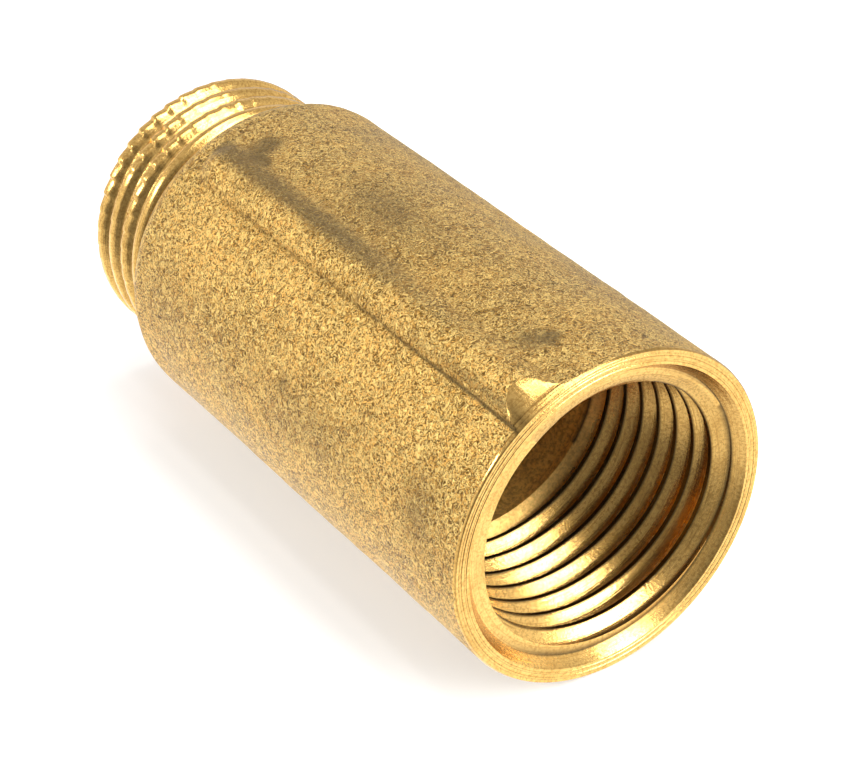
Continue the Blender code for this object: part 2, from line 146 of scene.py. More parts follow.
# Mesh tools --------------------------------------------------------------------------------------
def new_object(name, vertices, faces, materials, smooth=30):
    mesh = bpy.data.meshes.new(name)
    mesh.from_pydata(np.asarray(vertices).tolist(), [], faces)
    for material in materials:
        mesh.materials.append(material)
    made = bpy.data.objects.new(name, mesh)
    bpy.context.scene.collection.objects.link(made)
    shade(made, smooth)
    return made


def shade(piece, degrees):
    piece.data.shade_smooth()
    piece.data.set_sharp_from_angle(angle=math.radians(degrees))


def signed_area(profile):
    return sum(a[0] * b[1] - b[0] * a[1] for a, b in zip(profile, profile[1:] + profile[:1])) / 2


def softened(profile, radius, steps=3):
    """The closed (x, r) profile with each corner that is off the axis rounded."""
    out = []
    count = len(profile)
    for i, (x, r) in enumerate(profile):
        before = Vector(profile[i - 1]) - Vector((x, r))
        after = Vector(profile[(i + 1) % count]) - Vector((x, r))
        if r == 0 or radius == 0:
            out.append((x, r))
            continue
        reach = min(radius, 0.45 * before.length, 0.45 * after.length)
        start = Vector((x, r)) + before.normalized() * reach
        end = Vector((x, r)) + after.normalized() * reach
        for k in range(steps + 1):
            t = k / steps
            point = start * (1 - t) ** 2 + Vector((x, r)) * 2 * t * (1 - t) + end * t * t
            out.append(tuple(point))
    return out


def turned(name, profile, materials, segments=96, soft=0.0, material_index=0):
    """A solid of revolution about X. The profile lists (x, r) round a closed outline."""
    if signed_area(profile) > 0:
        profile = profile[::-1]
    profile = softened(profile, soft)
    rings = []
    vertices = []
    for x, r in profile:
        if r == 0:
            rings.append([len(vertices)] * segments)
            vertices.append((x, 0, 0))
            continue
        rings.append(list(range(len(vertices), len(vertices) + segments)))
        for k in range(segments):
            a = 2 * math.pi * k / segments
            vertices.append((x, r * math.cos(a), r * math.sin(a)))
    faces = []
    for here, there in zip(rings, rings[1:] + rings[:1]):
        if len(set(here)) == 1 and len(set(there)) == 1:
            continue
        for k in range(segments):
            m = (k + 1) % segments
            corners = [here[k], here[m], there[m], there[k]]
            faces.append(list(dict.fromkeys(corners)))
    made = new_object(name, vertices, faces, materials)
    made.data.polygons.foreach_set("material_index", [material_index] * len(faces))
    return made


def swept(name, sections, materials, closed=False, material_index=0):
    """A solid through a list of same-sized vertex rings, capped at both ends unless closed."""
    sections = np.asarray(sections)
    count, width = sections.shape[:2]
    last = count if closed else count - 1
    faces = []
    for i in range(last):
        for j in range(width):
            a, b = i * width, (i + 1) % count * width
            k = (j + 1) % width
            faces.append([a + j, b + j, b + k, a + k])
    if not closed:
        faces.append(list(range(width)))
        faces.append([(count - 1) * width + j for j in reversed(range(width))])
    made = new_object(name, sections.reshape(-1, 3), faces, materials)
    made.data.polygons.foreach_set("material_index", [material_index] * len(faces))
    return made


def carve(piece, operation, tool):
    """Joins, cuts or intersects the piece with the tool, which is then thrown away."""
    cut = piece.modifiers.new("cut", "BOOLEAN")
    cut.solver = "MANIFOLD"
    cut.operation = operation
    cut.object = tool
    depsgraph = bpy.context.evaluated_depsgraph_get()
    result = bpy.data.meshes.new_from_object(piece.evaluated_get(depsgraph))
    piece.modifiers.clear()
    piece.data = result
    bpy.data.objects.remove(tool, do_unlink=True)


def paint(piece, name, value):
    """Stores a mask on the piece's points, from a function of each point's place."""
    layer = piece.data.attributes.new(name, "FLOAT", "POINT")
    layer.data.foreach_set("value", [value(*v.co) for v in piece.data.vertices])


def finish_piece(piece, body, slot, *nodes):
    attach(piece, body)
    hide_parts(*nodes)
    return piece


# Node materials ----------------------------------------------------------------------------------
class Nodes:
    """A material's node tree, with a short call for each kind of node used here."""

    def __init__(self, name, metallic):
        self.material = bpy.data.materials.new(name)
        self.material.use_nodes = True
        self.tree = self.material.node_tree
        self.shader = self.tree.nodes["Principled BSDF"]
        self.shader.inputs["Metallic"].default_value = metallic
        self.place = self.tree.nodes.new("ShaderNodeTexCoord").outputs["Object"]

    def add(self, kind, **inputs):
        node = self.tree.nodes.new(kind)
        for name, value in inputs.items():
            self.put(node.inputs[name.replace("_", " ")], value)
        return node

    def put(self, socket, value):
        if isinstance(value, bpy.types.NodeSocket):
            self.tree.links.new(value, socket)
        else:
            socket.default_value = value

    def noise(self, size, detail=2.0, roughness=0.5, vector=None, distortion=0.0):
        """Noise whose lumps are about that many metres across."""
        node = self.add(
            "ShaderNodeTexNoise",
            Vector=vector or self.place,
            Scale=1 / size,
            Detail=detail,
            Roughness=roughness,
            Distortion=distortion,
        )
        return node.outputs["Fac"]

    def lines(self, size, width, distortion, offset=0.0):
        """Thin wandering lines, where a noise field passes its middle value."""
        moved = self.add("ShaderNodeMapping", Vector=self.place, Location=(offset, offset, offset))
        field = self.noise(size, 1.0, 0.5, vector=moved.outputs["Vector"], distortion=distortion)
        return self.ramp(self.math("ABSOLUTE", self.math("SUBTRACT", field, 0.5)), 0.0, width, 1.0, 0.0)

    def mask(self, name):
        node = self.tree.nodes.new("ShaderNodeAttribute")
        node.attribute_name = name
        return node.outputs["Fac"]

    def ramp(self, value, low, high, out_low=0.0, out_high=1.0):
        node = self.add("ShaderNodeMapRange", Value=value)
        node.interpolation_type = "SMOOTHSTEP"
        for name, number in zip(RANGE_SOCKETS, (low, high, out_low, out_high)):
            node.inputs[name].default_value = number
        return node.outputs["Result"]

    def math(self, operation, a, b=0.0):
        node = self.tree.nodes.new("ShaderNodeMath")
        node.operation = operation
        self.put(node.inputs[0], a)
        self.put(node.inputs[1], b)
        return node.outputs["Value"]

    def mix(self, share, a, b):
        node = self.tree.nodes.new("ShaderNodeMix")
        node.data_type = "RGBA"
        self.put(node.inputs["Factor"], share)
        self.put(node.inputs["A"], a if isinstance(a, bpy.types.NodeSocket) else (*a, 1))
        self.put(node.inputs["B"], b if isinstance(b, bpy.types.NodeSocket) else (*b, 1))
        return node.outputs["Result"]

    def stretched(self, x, y, z):
        """The place with each axis scaled, for grain that runs one way."""
        node = self.add("ShaderNodeMapping", Vector=self.place, Scale=(x, y, z))
        return node.outputs["Vector"]

    def axis_and_radius(self, x_scale, r_scale):
        """(x, distance from the axis) as a vector, each scaled: constant round each turned ring."""
        parts = self.add("ShaderNodeSeparateXYZ", Vector=self.place)
        across = self.math(
            "SQRT",
            self.math(
                "ADD",
                self.math("MULTIPLY", parts.outputs["Y"], parts.outputs["Y"]),
                self.math("MULTIPLY", parts.outputs["Z"], parts.outputs["Z"]),
            ),
        )
        joined = self.tree.nodes.new("ShaderNodeCombineXYZ")
        self.put(joined.inputs["X"], self.math("MULTIPLY", parts.outputs["X"], x_scale))
        self.put(joined.inputs["Y"], self.math("MULTIPLY", across, r_scale))
        return joined.outputs["Vector"]

    def bump(self, height, distance, below=None):
        node = self.add("ShaderNodeBump", Height=height, Distance=distance, Strength=1.0)
        if below is not None:
            self.put(node.inputs["Normal"], below)
        return node.outputs["Normal"]

    def finish(self, colour, roughness, normal):
        self.put(self.shader.inputs["Base Color"], colour)
        self.put(self.shader.inputs["Roughness"], roughness)
        self.put(self.shader.inputs["Normal"], normal)
        return self.material


def cast_skin():
    """Sand-cast brass: worm-like grain, soft blotches, dark stains where sand scale stayed, and painted
    shade by the ribs from the same mask.
    """
    n = Nodes("cast_skin", 1.0)
    dark_worms = n.lines(0.40 * MM, 0.105, 1.3)
    light_worms = n.lines(0.44 * MM, 0.095, 1.5, offset=31.7)
    fine = n.noise(0.17 * MM, 3.0, 0.7)
    blotch = n.noise(6 * MM, 4.0, 0.55)
    speck = n.ramp(n.noise(1.3 * MM, 3.0, 0.6, vector=n.stretched(1, 1, 1.3)), 0.60, 0.72)
    colour = n.mix(n.ramp(blotch, 0.35, 0.65), (0.66, 0.365, 0.083), (0.92, 0.52, 0.135))
    colour = n.mix(n.ramp(fine, 0.34, 0.59, 0.85, 0.0), colour, (0.19, 0.10, 0.022))
    colour = n.mix(n.math("MULTIPLY", dark_worms, 0.95), colour, (0.12, 0.062, 0.013))
    colour = n.mix(n.math("MULTIPLY", light_worms, 0.9), colour, (1.0, 0.70, 0.23))
    colour = n.mix(n.math("MULTIPLY", speck, 0.35), colour, (0.30, 0.19, 0.07))
    # The dirt mask darkens real stains and dirt, and also paints shade along and beside the ribs.
    stain_and_shade = n.ramp(n.math("ADD", n.mask("dirt_and_shade"), n.ramp(fine, 0.3, 0.7, -0.2, 0.2)), 0.08, 0.9)
    colour = n.mix(n.math("MULTIPLY", stain_and_shade, 0.85), colour, (0.15, 0.10, 0.04))
    roughness = n.ramp(blotch, 0.3, 0.7, 0.38, 0.48)
    height = n.math("SUBTRACT", light_worms, dark_worms)
    normal = n.bump(fine, 0.036 * MM, n.bump(height, 0.042 * MM))
    return n.finish(colour, roughness, normal)


def machined_brass(name="machined_brass", colour=(0.93, 0.58, 0.18), roughness=0.15):
    """Turned brass: fine rings round the axis, slight tarnish, brown film, and near-black where painted,
    which in the socket is painted shade on the crests and in the first groove.
    """
    n = Nodes(name, 1.0)
    rings = n.noise(0.10 * MM, 2.0, 0.5, vector=n.axis_and_radius(1.0, 1.0))
    broad = n.noise(0.5 * MM, 3.0, 0.6, vector=n.axis_and_radius(1.0, 1.0))
    tarnish = n.noise(2.5 * MM, 4.0, 0.6)
    grain = n.noise(0.20 * MM, 2.0, 0.65)
    dark = tuple(c * k for c, k in zip(colour, (0.62, 0.54, 0.42)))
    shown = n.mix(n.ramp(tarnish, 0.45, 0.75, 0.0, 0.5), colour, dark)
    shown = n.mix(n.ramp(rings, 0.30, 0.48, 0.7, 0.0), shown, dark)
    shown = n.mix(n.ramp(grain, 0.36, 0.56, 0.65, 0.0), shown, dark)
    film = n.mask("film")
    oxide = n.mix(n.ramp(n.noise(0.3 * MM, 3.0, 0.7), 0.35, 0.65), (0.42, 0.24, 0.05), (0.90, 0.54, 0.14))
    shown = n.mix(n.math("MULTIPLY", film, 0.92), shown, oxide)
    # The dirt mask here paints shade: near-black lines on the socket's crests and in its first groove.
    shown = n.mix(n.math("MULTIPLY", n.mask("dirt_and_shade"), 0.95), shown, (0.045, 0.028, 0.012))
    n.put(n.shader.inputs["Metallic"], n.math("SUBTRACT", 1.0, n.math("MULTIPLY", film, 0.6)))
    rough = n.ramp(tarnish, 0.3, 0.75, roughness, roughness + 0.10)
    rough = n.math("ADD", rough, n.math("MULTIPLY", film, 0.25))
    normal = n.bump(grain, 0.010 * MM, n.bump(rings, 0.006 * MM, n.bump(broad, 0.02 * MM)))
    return n.finish(shown, rough, normal)


def stainless():
    """Drawn stainless steel with fine scratches."""
    n = Nodes("stainless", 1.0)
    rings = n.noise(0.08 * MM, 2.0, 0.5, vector=n.axis_and_radius(1.0, 1.0))
    cloud = n.noise(2 * MM, 3.0, 0.6)
    shown = n.mix(n.ramp(cloud, 0.3, 0.7), (0.52, 0.51, 0.49), (0.66, 0.65, 0.63))
    rough = n.ramp(cloud, 0.3, 0.7, 0.22, 0.34)
    return n.finish(shown, rough, n.bump(rings, 0.004 * MM))


def rubber():
    """Moulded nitrile rubber with a dusting of talc."""
    n = Nodes("rubber", 0.0)
    fine = n.noise(0.15 * MM, 3.0, 0.6)
    talc = n.noise(1.5 * MM, 4.0, 0.7)
    shown = n.mix(n.ramp(talc, 0.55, 0.8), (0.018, 0.018, 0.019), (0.09, 0.09, 0.088))
    rough = n.ramp(talc, 0.3, 0.8, 0.48, 0.72)
    return n.finish(shown, rough, n.bump(fine, 0.01 * MM))


def plastic():
    """Turned white acetal with faint tool rings."""
    n = Nodes("white_acetal", 0.0)
    rings = n.noise(0.12 * MM, 2.0, 0.5, vector=n.axis_and_radius(1.0, 1.0))
    cloud = n.noise(1.2 * MM, 3.0, 0.6)
    shown = n.mix(n.ramp(cloud, 0.3, 0.7), (0.74, 0.73, 0.68), (0.84, 0.83, 0.79))
    rough = n.ramp(cloud, 0.3, 0.7, 0.34, 0.46)
    return n.finish(shown, rough, n.bump(rings, 0.005 * MM))


# Body --------------------------------------------------------------------------------------------
def skin_profile():
    """(x, r) rows of the casting, from the shoulder's middle to past the mouth."""
    rows = [(SHOULDER, 6 * MM), (SHOULDER, BODY_RADIUS - SHOULDER_ROUND)]
    arc_rows = 14
    for k in range(1, arc_rows + 1):
        a = math.pi / 2 * k / arc_rows
        x = SHOULDER + SHOULDER_ROUND * (1 - math.cos(a))
        rows.append((x, BODY_RADIUS - SHOULDER_ROUND * (1 - math.sin(a))))
    x = rows[-1][0]
    while x < MOUTH + 0.3 * MM:
        x += SKIN_STEP
        rows.append((x, BODY_RADIUS))
    return rows


def from_rib(angle, rib):
    """The angle counted from a rib's middle, between -pi and pi."""
    return (angle - rib + math.pi) % (2 * math.pi) - math.pi


def skin_angles():
    """Columns round the casting, closer together over the ribs."""
    angles = [0.0]
    while True:
        near = min(abs(from_rib(angles[-1], rib)) for rib in RIB_ANGLES)
        step = RIB_COLUMN if near < 1.5 * RIB_HALF_ANGLE else WIDE_COLUMN
        if angles[-1] + 1.5 * step > 2 * math.pi:
            return angles
        angles.append(angles[-1] + step)


def rib_radius(x, angle):
    """Distance from the axis to the surface of a rib at angle 0: a capsule sunk in the wall."""
    middle = BODY_RADIUS + RIB_HEIGHT - RIB_RADIUS
    beyond = min(0.0, x - RIB_END)
    under = RIB_RADIUS**2 - beyond**2 - (middle * math.sin(angle)) ** 2
    if under <= 0 or math.cos(angle) <= 0:
        return 0.0
    return middle * math.cos(angle) + math.sqrt(under)


def foot_line(x, offset):
    """How near a place is to the parting line along one foot of a rib, from 0 to 1."""
    wander = 0.06 * MM * noise.noise(Vector((x / (3 * MM), 4.2, 0.7)))
    miss = (offset - RIB_HALF_ANGLE) * BODY_RADIUS + wander
    along = min(1.0, max(0.0, (x - RIB_END) / (3 * MM)))
    return along * math.exp(-((miss / (0.13 * MM)) ** 2))


def skin_radius(x, base, angle):
    """The cast surface at x and angle, with ribs, waviness, lumps and pits."""
    here = Vector((x, base * math.cos(angle), base * math.sin(angle)))
    radius = base
    if base > BODY_RADIUS - 1.2 * MM:
        for rib in RIB_ANGLES:
            offset = from_rib(angle, rib)
            ridge = rib_radius(x, offset)
            if ridge > 0:
                blend = (0.07 if offset > 0 else 0.22) * MM
                gap = radius - ridge
                radius = (radius + ridge + math.sqrt(gap * gap + blend * blend)) / 2
            radius -= 0.07 * MM * foot_line(x, offset)
    wave = 0.06 * MM * noise.noise(here / (9 * MM))
    lumps = 0.030 * MM * noise.noise(here / (1.7 * MM) + Vector((7, 3, 1)))
    grains = 0.014 * MM * noise.noise(here / (0.75 * MM) + Vector((1, 5, 8)))
    pit = max(0.0, noise.noise(here / (0.9 * MM) + Vector((2, 9, 4))) - 0.5)
    return radius + wave + lumps + grains - 0.25 * MM * pit


def casting(materials):
    """The casting before any machining."""
    angles = skin_angles()
    columns = len(angles)
    rows = skin_profile()
    vertices = []
    for x, base in rows:
        for a in angles:
            r = skin_radius(x, base, a)
            vertices.append((x, r * math.cos(a), r * math.sin(a)))
    faces = []
    for i in range(len(rows) - 1):
        for j in range(columns):
            k = (j + 1) % columns
            a, b = i * columns, (i + 1) * columns
            faces.append([a + j, a + k, b + k, b + j])
    faces.append(list(reversed(range(columns))))
    faces.append([(len(rows) - 1) * columns + j for j in range(columns)])
    return new_object("body_casting", vertices, faces, materials)


def mouth_envelope(materials):
    """All that is left standing once the mouth is faced and its outer edge turned to a cone."""
    reach = 6 * MM
    slope = math.tan(EDGE_CONE)
    profile = [
        (TIP - 5 * MM, 0),
        (TIP - 5 * MM, FACE_RADIUS + reach * slope),
        (MOUTH - reach, FACE_RADIUS + reach * slope),
    ]
    for behind, depth in ((0.62, 0.0), (0.55, 0.05), (0.46, 0.0), (0.30, 0.0), (0.27, 0.02), (0.24, 0.0)):
        profile.append((MOUTH - behind * MM, FACE_RADIUS + (behind * slope - depth) * MM))
    profile += [(MOUTH - 0.06 * MM, FACE_RADIUS + 0.01 * MM), (MOUTH, FACE_RADIUS - 0.05 * MM)]
    for inward, depth in FACE_LINES:
        for across, share in ((-0.05, 0), (0, 1), (0.04, 0)):
            profile.append((MOUTH - depth * share * MM, FACE_RADIUS - (inward + across) * MM))
    profile.append((MOUTH, 0))
    return turned("mouth_envelope", profile, materials, 288, material_index=1)


def thread_coil(name, crest_at, start, end, steps, section_at, materials):
    """A right-hand helical solid from x start to end, with section_at(x, angle) as its outline."""
    sections = []
    for i in range(int((end - start) / PITCH * steps) + 1):
        x = start + PITCH * i / steps
        angle = 2 * math.pi * (x - crest_at) / PITCH + THREAD_START
        ring = (math.cos(angle), math.sin(angle))
        sections.append([(x + dx, r * ring[0], r * ring[1]) for dx, r in section_at(x, angle)])
    return swept(name, sections, materials, material_index=1)


def groove_depth(share, narrow):
    """Depth of a rounded groove, from 1 in its middle to 0 half a pitch away."""
    return ((1 + math.cos(2 * math.pi * share)) / 2) ** narrow


def socket_groove(depth, deep):
    """Outline of the socket's groove, from a crest's inner edge: a leaning flank, a root, a steep flank.

    The root is wider in the first turn. The leaning flank faces the mouth, and its points between
    the ends keep what paint() puts on the crest and in the root from spreading over it.
    """
    first_turn = min(1.0, max(0.0, (2.6 * MM - depth) / (1.2 * MM)))
    height = deep * SOCKET_GROOVE
    steep = (0.42 + 0.23 * first_turn) * MM
    root = (0.12 + 0.13 * first_turn) * MM
    end = PITCH - SOCKET_CREST
    past = 0.05 * MM
    low = -end - past * (end - steep - root) / max(height, past)
    high = past * steep / max(height, past)
    foot = MINOR - 0.3 * MM
    deepest = -steep - root
    flank = [
        (low + share * (deepest - low), MINOR - past + share * (height + past))
        for share in (0.0, 0.16, 0.7, 1.0)
    ]
    return [(low, foot), *flank, (-steep, MINOR + height), (high, MINOR - past), (high, foot)]


def thread_outline(base, surface):
    """One pitch of thread on a foot at radius base, with surface(share of a pitch) above it."""
    half = (0.0, 0.06, 0.122, 0.20, 0.29, 0.378, 0.44, 0.495)
    shares = [-u for u in reversed(half[1:])] + list(half)
    top = [(share * PITCH, surface(share)) for share in shares]
    return [(top[0][0], base), *top, (top[-1][0], base)]


def notch_depth(angle):
    """Depth of the hemp notches pressed across the spigot's crests: a worn saw-tooth."""
    turn = angle * NOTCHES / (2 * math.pi)
    after = turn - math.floor(turn)
    uneven = 0.6 + 0.9 * noise.noise(Vector((math.floor(turn) * 0.37, 0.5, 0.2)))
    pressed = 0.2 + 0.8 * math.cos(angle - THREAD_START) ** 4
    return 0.24 * MM * max(0.0, uneven) * max(0.0, 1 - after / 0.75) * pressed


def add_spigot(body, materials):
    """The male end: a core at root radius, its tooth, chamfered tip and run-out at the shoulder."""
    root = MAJOR - SPIGOT_DEPTH
    edge = 0.15 * MM
    core = [
        (TIP, 0),
        (TIP, root - edge),
        (TIP + edge, root + 0.01 * MM),
        (SHOULDER + 3 * MM, root + 0.01 * MM),
        (SHOULDER + 3 * MM, 0),
    ]
    carve(body, "UNION", turned("core", core, materials, 240, material_index=1))
    smooth_turn = SHOULDER - 1.6 * PITCH

    def section(x, angle):
        tall = SPIGOT_DEPTH - (0.0 if x > smooth_turn else notch_depth(angle))
        return thread_outline(root - 0.2 * MM, lambda u: root + tall * (1 - groove_depth(0.5 - u, 1.8)))

    start, end = TIP - PITCH, SHOULDER + 0.5 * PITCH
    coil = thread_coil("spigot_coil", SPIGOT_CREST, start, end, SPIGOT_STEPS, section, materials)
    low = TIP + 0.04 * MM
    high = SHOULDER - 0.5 * MM
    outside = MAJOR + 0.3 * MM
    inside = root - 0.12 * MM
    cone = outside - root
    envelope = [
        (high, inside),
        (high, root),
        (high - 0.6 * cone, outside),
        (low + 0.55 * cone, outside),
        (low, root),
        (low, inside),
    ]
    carve(coil, "INTERSECT", turned("spigot_envelope", envelope, materials, 240, material_index=1))
    carve(body, "UNION", coil)


def bore_profile():
    """Everything drilled and bored from both ends, as one outline."""
    past = 1 * MM
    groove_low, groove_high = SEAT_SHOULDER + 18.9 * MM, SEAT_SHOULDER + 20.0 * MM
    return [
        (MOUTH + past, 0),
        (MOUTH + past, COUNTERSINK_RADIUS + past * COUNTERSINK_SLOPE),
        (MOUTH - (COUNTERSINK_RADIUS - MAJOR - 0.1 * MM) / COUNTERSINK_SLOPE, MAJOR + 0.1 * MM),
        (MOUTH - (COUNTERSINK_RADIUS - MAJOR) / COUNTERSINK_SLOPE, MAJOR),
        (MOUTH - 0.9 * MM, MINOR),
        (MOUTH - SOCKET_DEPTH, MINOR),
        (MOUTH - SOCKET_DEPTH - 2.5 * MM, BORE_RADIUS),
        (groove_high, BORE_RADIUS),
        (groove_high, 10 * MM),
        (groove_low, 10 * MM),
        (groove_low, BORE_RADIUS),
        (SEAT_SHOULDER, BORE_RADIUS),
        (SEAT_SHOULDER, SPIGOT_BORE),
        (TIP + 0.3 * MM, SPIGOT_BORE),
        (TIP - past, SPIGOT_BORE + 0.3 * MM + past),
        (TIP - past, 0),
    ]


def cut_socket(body, materials):
    """Bores the body through and taps its mouth. The thread's last turns fade out."""
    carve(body, "DIFFERENCE", turned("bore", bore_profile(), materials, 240, material_index=1))
    fade_length = 1.3 * PITCH
    fade_from = MOUTH - SOCKET_DEPTH + fade_length

    def section(x, angle):
        deep = 1 - max(0.0, (fade_from - x) / fade_length) ** 1.5
        return socket_groove(MOUTH - x, deep)

    start, end = fade_from - fade_length, MOUTH + PITCH
    coil = thread_coil("socket_coil", SOCKET_EDGE, start, end, SOCKET_STEPS, section, materials)
    carve(body, "DIFFERENCE", coil)


def body_dirt_and_shade(x, y, z):
    """Where dirt and painted shade go. On the casting: real dirt with painted crease shade along the ribs'
    feet, painted shade in soft bands along the ribs' sides and over the casting on one side of the seen
    rib, and real dirt in stains.

    In the socket: painted shade as a dark line on each of the thread's crests, and in the first groove on
    the side towards +Y and -Z.
    """
    radius = math.hypot(y, z)
    angle = math.atan2(z, y)
    depth = MOUTH - x
    if radius < 11.6 * MM or depth < 0.05 * MM:
        # Painted shade: a dark line along each crest of the socket's thread.
        if abs(radius - MINOR) < 0.03 * MM and 1.2 * MM < depth < 14.4 * MM:
            return 1.0
        # Painted shade in the first groove, strongest towards +Y and -Z.
        if abs(radius - MAJOR) < 0.06 * MM and 0.6 * MM < depth < 1.4 * MM:
            return min(0.9, max(0.0, 0.6 + 1.5 * math.cos(angle + 0.67)))
        return 0.0
    dirt_and_shade = 0.0
    for rib in RIB_ANGLES:
        offset = from_rib(angle, rib)
        near_end = min(1.0, max(0.0, (x - MOUTH) / (24 * MM) + 1))
        # Real dirt and painted crease shade along each rib's foot.
        dirt_and_shade += (0.4 + 0.5 * near_end) * foot_line(x, offset)
        # Painted shade: a soft band beside each rib's far half, and another along its other side near the
        # mouth.
        if x > RIB_END - 2 * MM:
            beside = (offset + (0.36 - 0.25 * near_end) * RIB_HALF_ANGLE) / (0.50 * RIB_HALF_ANGLE)
            dirt_and_shade += 0.6 * (1 - near_end) * math.exp(-(beside**2))
            left = (offset - 0.66 * RIB_HALF_ANGLE) / (0.28 * RIB_HALF_ANGLE)
            dirt_and_shade += 0.6 * near_end * math.exp(-(left**2))
    # Painted shade: the casting darker on the side of the seen rib towards smaller angles.
    past_rib = from_rib(angle, RIB_ANGLES[0]) / RIB_HALF_ANGLE
    if past_rib < 0:
        dirt_and_shade += 0.38 * min(1.0, -past_rib / 0.8) * min(1.0, max(0.0, (past_rib + 11) / 4))
    for degrees, behind, across, along, strength in STAINS:
        wide = from_rib(angle, math.radians(degrees)) * BODY_RADIUS / (across * MM)
        deep = (x - MOUTH + behind * MM) / (along * MM)
        dirt_and_shade += strength * math.exp(-(wide**2) - deep**2)
    return min(1.0, dirt_and_shade)


def bore_film(x, y, z):
    """Brown film of oil and oxide inside the mouth: thicker with depth, and at the grooves' roots, where
    its darkening is partly painted shade.
    """
    across = math.hypot(y, z)
    depth = (MOUTH - x) / MM
    if x < SEAT_SHOULDER or across > 11.2 * MM:
        return 0.0
    groove = (across - MINOR) / MM
    # Film at the grooves' roots: oxide, and partly painted shade that darkens the roots.
    root_film_and_shade = 0.6 * max(0.0, (groove - 0.75) / 0.4)
    deep = min(1.0, max(0.0, (depth - 13.2) / 2.0))
    return min(1.0, 0.01 * depth + root_film_and_shade + 0.9 * deep) * min(1.0, max(0.0, depth / 2))


def build_body(skin, brass):
    materials = [skin, brass]
    body = casting(materials)
    carve(body, "INTERSECT", mouth_envelope(materials))
    add_spigot(body, materials)
    cut_socket(body, materials)
    shade(body, 35)
    # This mask holds real stains and dirt, and also painted shade by the ribs and in the socket.
    paint(body, "dirt_and_shade", body_dirt_and_shade)
    paint(body, "film", bore_film)
    finish_piece(body, "body", "cast_brass", "valve_body")
    return body


# Cartridge ---------------------------------------------------------------------------------------
def seat(distance_mm):
    """A station on the flow axis, this many millimetres downstream of the seat shoulder."""
    return SEAT_SHOULDER + distance_mm * MM


def hollow(low, high, inner, outer):
    """Outline of a plain ring between two stations."""
    return [(low, inner), (low, outer), (high, outer), (high, inner)]


def around(angle, out, across=0.0):
    """(y, z) of a place that far out at an angle, moved sideways by across."""
    return (
        out * math.cos(angle) - across * math.sin(angle),
        out * math.sin(angle) + across * math.cos(angle),
    )


def arc(radius, start, end, count, centre=(0.0, 0.0)):
    points = []
    for k in range(count + 1):
        y, z = around(start + (end - start) * k / count, radius)
        points.append((centre[0] + y, centre[1] + z))
    return points


def plate(name, outline, low, high, materials):
    """A flat part: a closed (y, z) outline between two stations."""
    area = sum(a[0] * b[1] - b[0] * a[1] for a, b in zip(outline, outline[1:] + outline[:1]))
    if area < 0:
        outline = outline[::-1]
    return swept(name, [[(x, y, z) for y, z in outline] for x in (high, low)], materials)


def moved(piece, matrix):
    piece.data.transform(matrix)
    return piece


def round_edges(piece, width, angle=35):
    """Breaks the sharp edges with a small two-step round."""
    edge = piece.modifiers.new("edges", "BEVEL")
    edge.width = width
    edge.segments = 2
    edge.limit_method = "ANGLE"
    edge.angle_limit = math.radians(angle)
    depsgraph = bpy.context.evaluated_depsgraph_get()
    result = bpy.data.meshes.new_from_object(piece.evaluated_get(depsgraph))
    piece.modifiers.clear()
    piece.data = result
    shade(piece, 50)


def add_arms(piece, inner, outer, low, high, width, materials):
    """Three streamlined arms: rounded bars from the hub to the rim."""
    for number, angle in enumerate(ARM_ANGLES):
        middle = (low + high) / 2
        sections = []
        for out in (inner, outer):
            ring = []
            for k in range(20):
                a = 2 * math.pi * k / 20
                squared = max(abs(math.cos(a)) ** 4 + abs(math.sin(a)) ** 4, 1e-9) ** -0.25
                dx = (high - low) / 2 * squared * math.cos(a)
                y, z = around(angle, out, width / 2 * squared * math.sin(a))
                ring.append((middle + dx, y, z))
            sections.append(ring)
        carve(piece, "UNION", swept(f"arm_{number}", sections, materials))


def make_seat_ring(brass):
    nose, pocket, bore, floor_radius = 7.25 * MM, 6.35 * MM, 5.7 * MM, 7.82 * MM
    outline = [
        (seat(5.0), 6.2 * MM),
        (seat(4.5), 6.5 * MM),
        (seat(4.5), 8.85 * MM),
        (seat(4.35), CARTRIDGE_RADIUS),
        (seat(3.3), CARTRIDGE_RADIUS),
        (seat(3.3), floor_radius),
        (seat(1.5), floor_radius),
        (seat(1.5), CARTRIDGE_RADIUS),
        (seat(0.1), CARTRIDGE_RADIUS),
        (seat(0.1), nose),
        (seat(-4.4), nose),
        (seat(-4.7), nose - 0.25 * MM),
        (seat(-4.7), pocket),
        (seat(-2.0), pocket),
        (seat(-2.0), bore + 0.15 * MM),
        (seat(-1.8), bore),
        (seat(4.3), bore),
        (seat(5.0), 5.9 * MM),
    ]
    ring = turned("seat_ring_turned", outline, [brass], 144, soft=0.07 * MM)
    return finish_piece(ring, "body", "turned_brass", "seat_ring")


def make_o_ring(rubber):
    """The cord is oval, since the bore squeezes it, with a faint moulding line on its outside."""
    outline = []
    for k in range(32):
        a = 2 * math.pi * k / 32
        flash = 0.015 * MM if k == 0 else 0.0
        r = 8.58 * MM + (0.62 * MM + flash) * math.cos(a)
        outline.append((seat(2.4) + 0.69 * MM * math.sin(a), r))
    ring = turned("seat_o_ring_moulded", outline, [rubber], 144)
    return finish_piece(ring, "body", "black_rubber", "seat_o_ring")


def make_inlet_guide(brass):
    low, high = seat(-4.6), seat(-2.1)
    hub_in, hub_out = 2.13 * MM, 2.78 * MM
    rim = hollow(low, high, 5.6 * MM, 6.28 * MM)
    piece = turned("inlet_guide_milled", rim, [brass], 144, soft=0.1 * MM)
    hub = turned("hub", hollow(low, seat(-1.3), hub_in, hub_out), [brass], 96, soft=0.12 * MM)
    carve(piece, "UNION", hub)
    add_arms(piece, 2.45 * MM, 5.9 * MM, low + 0.3 * MM, high - 0.3 * MM, 1.2 * MM, [brass])
    shade(piece, 40)
    return finish_piece(piece, "body", "turned_brass", "inlet_guide")


